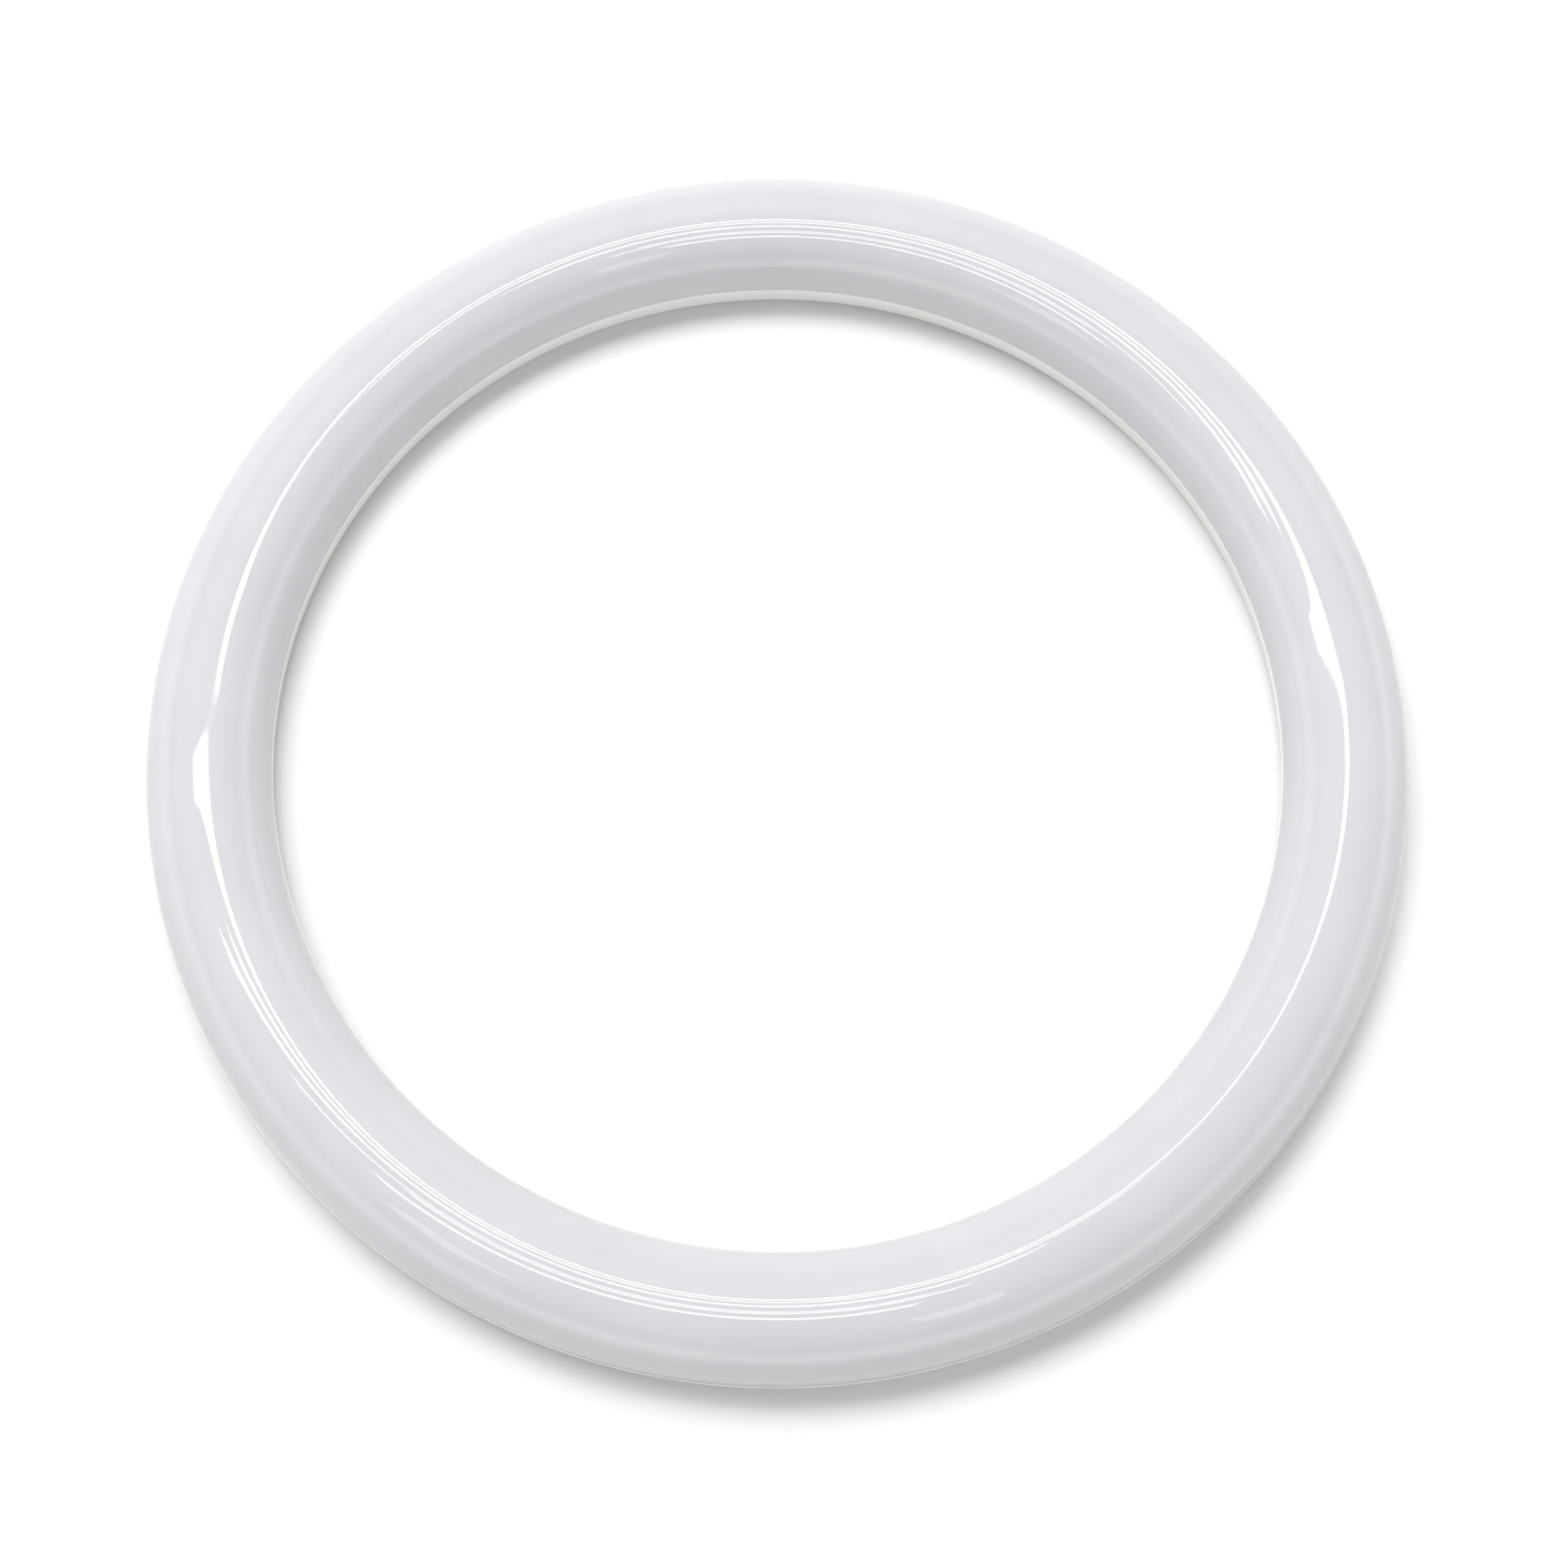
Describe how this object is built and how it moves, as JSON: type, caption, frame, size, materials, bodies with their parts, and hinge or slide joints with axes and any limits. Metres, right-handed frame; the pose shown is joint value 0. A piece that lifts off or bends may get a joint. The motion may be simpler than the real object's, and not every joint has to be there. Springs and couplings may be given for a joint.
{
  "type": "circular led tube",
  "caption": "Ring-shaped led lamp: milky half-round cover clipped on a flat-backed tray, with led boards, a mains driver and a recessed pin connector inside.",
  "frame": {"origin": "on the ring's axis, in the plane of its flat back", "axes": "+Z along the ring's axis, out of the lit face; -Y towards the connector"},
  "size_m": [0.3, 0.3, 0.022],
  "materials": {
    "milky_cover": "glossy milky polycarbonate",
    "white_tray": "fine satin moulded plastic",
    "board_white": "white lacquered aluminium board",
    "led_package": "phosphor gel in a white frame",
    "board_green": "lacquered circuit board",
    "black_mould": "moulded package",
    "can_sleeve": "shrunk sleeve",
    "film_yellow": "moulded box",
    "varistor_blue": "dipped lacquer",
    "fuse_green": "cement coat",
    "ferrite": "ground ferrite",
    "copper_winding": "enamelled wire",
    "pin_metal": "nickel-plated",
    "screw_steel": "zinc-plated",
    "connector_white": "moulded insulator",
    "clear_film": "insulating film",
    "wire_brown": "insulated wire",
    "wire_blue": "insulated wire",
    "wire_red": "insulated wire",
    "wire_black": "insulated wire"
  },
  "bodies": {
    "root": {"diffuser": "milky_cover", "base_shell": "white_tray", "led_board_1": "board_white", "led_board_2": "board_white", "led_board_3": "board_white", "led_board_4": "board_white", "led_chips_1": "led_package", "led_chips_2": "led_package", "led_chips_3": "led_package", "led_chips_4": "led_package", "board_bridges": "pin_metal", "board_screws": "screw_steel", "insulating_sheet": "clear_film", "connector_block": "connector_white", "connector_pins": "pin_metal", "contact_strips": "pin_metal", "driver_board": "board_green", "input_fuse": "fuse_green", "varistor": "varistor_blue", "bridge_rectifier": "black_mould", "filter_capacitor": "can_sleeve", "film_capacitor": "film_yellow", "inductor_core": "ferrite", "inductor_winding": "copper_winding", "driver_chip": "black_mould", "output_diode": "black_mould", "output_capacitor": "can_sleeve", "sense_resistors": "black_mould", "live_lead": "wire_brown", "neutral_lead": "wire_blue", "positive_lead": "wire_red", "negative_lead": "wire_black"}
  },
  "joints": []
}
